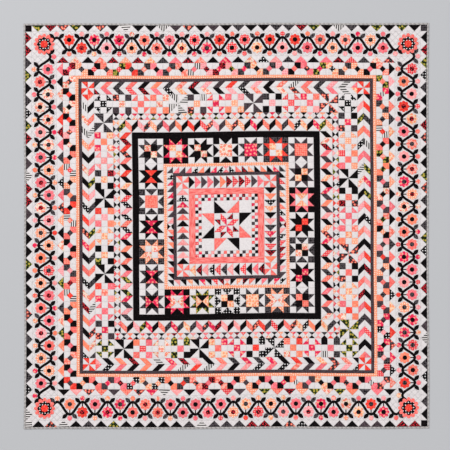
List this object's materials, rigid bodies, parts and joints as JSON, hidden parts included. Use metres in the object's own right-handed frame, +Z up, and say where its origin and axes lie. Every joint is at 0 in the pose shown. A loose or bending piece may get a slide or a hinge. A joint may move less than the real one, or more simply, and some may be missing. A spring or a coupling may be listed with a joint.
{
  "type": "patchwork quilt",
  "caption": "Square patchwork quilt lying flat: a centre medallion framed by pieced borders in coral, black and white cottons, quilted along its seams and edged with a striped binding.",
  "frame": {"origin": "middle of the underside, on the surface that the quilt lies on", "axes": "+Z up out of the patchwork face, +X to the quilt's right and +Y towards its top edge, as the picture shows it"},
  "size_m": [2.2084, 2.2104, 0.0056],
  "materials": {
    "centre_medallion": "matte pieced cottons, coral, pink and black prints on white",
    "coral_frame": "matte coral tone-on-tone cotton",
    "geese_border": "matte pieced cottons, coral and black triangles on white, with a charcoal strip",
    "sawtooth_border": "matte pieced cottons, coral and white triangles with a peach strip",
    "star_border": "matte pieced cottons, coral and black stars on white",
    "black_frame": "matte black cotton with a faint print",
    "zigzag_border": "matte pieced cottons, black and coral zigzag on white",
    "hourglass_border": "matte pieced cottons, small coral, black and white triangles",
    "ninepatch_border": "matte pieced cottons, coral, black and white squares",
    "chevron_border": "matte pieced cottons, coral and black chevrons on white, with charcoal and peach strips",
    "bowtie_border": "matte pieced cottons, coral and black bow ties on white",
    "dogtooth_border": "matte pieced cottons, black and coral teeth on white",
    "vine_border": "matte white cotton with a sewn-on black vine and coral flowers",
    "binding": "matte black and white striped cotton"
  },
  "bodies": {
    "root": {"centre_medallion": "centre_medallion", "coral_frame_top": "coral_frame", "coral_frame_left": "coral_frame", "coral_frame_bottom": "coral_frame", "coral_frame_right": "coral_frame", "geese_border_top": "geese_border", "geese_border_left": "geese_border", "geese_border_bottom": "geese_border", "geese_border_right": "geese_border", "sawtooth_border_top": "sawtooth_border", "sawtooth_border_left": "sawtooth_border", "sawtooth_border_bottom": "sawtooth_border", "sawtooth_border_right": "sawtooth_border", "star_border_top": "star_border", "star_border_left": "star_border", "star_border_bottom": "star_border", "star_border_right": "star_border", "black_frame_top": "black_frame", "black_frame_left": "black_frame", "black_frame_bottom": "black_frame", "black_frame_right": "black_frame", "zigzag_border_top": "zigzag_border", "zigzag_border_left": "zigzag_border", "zigzag_border_bottom": "zigzag_border", "zigzag_border_right": "zigzag_border", "hourglass_border_top": "hourglass_border", "hourglass_border_left": "hourglass_border", "hourglass_border_bottom": "hourglass_border", "hourglass_border_right": "hourglass_border", "ninepatch_border_top": "ninepatch_border", "ninepatch_border_left": "ninepatch_border", "ninepatch_border_bottom": "ninepatch_border", "ninepatch_border_right": "ninepatch_border", "chevron_border_top": "chevron_border", "chevron_border_left": "chevron_border", "chevron_border_bottom": "chevron_border", "chevron_border_right": "chevron_border", "bowtie_border_top": "bowtie_border", "bowtie_border_left": "bowtie_border", "bowtie_border_bottom": "bowtie_border", "bowtie_border_right": "bowtie_border", "dogtooth_border_top": "dogtooth_border", "dogtooth_border_left": "dogtooth_border", "dogtooth_border_bottom": "dogtooth_border", "dogtooth_border_right": "dogtooth_border", "vine_border_top": "vine_border", "vine_border_left": "vine_border", "vine_border_bottom": "vine_border", "vine_border_right": "vine_border", "binding_top": "binding", "binding_left": "binding", "binding_bottom": "binding", "binding_right": "binding"}
  },
  "joints": []
}
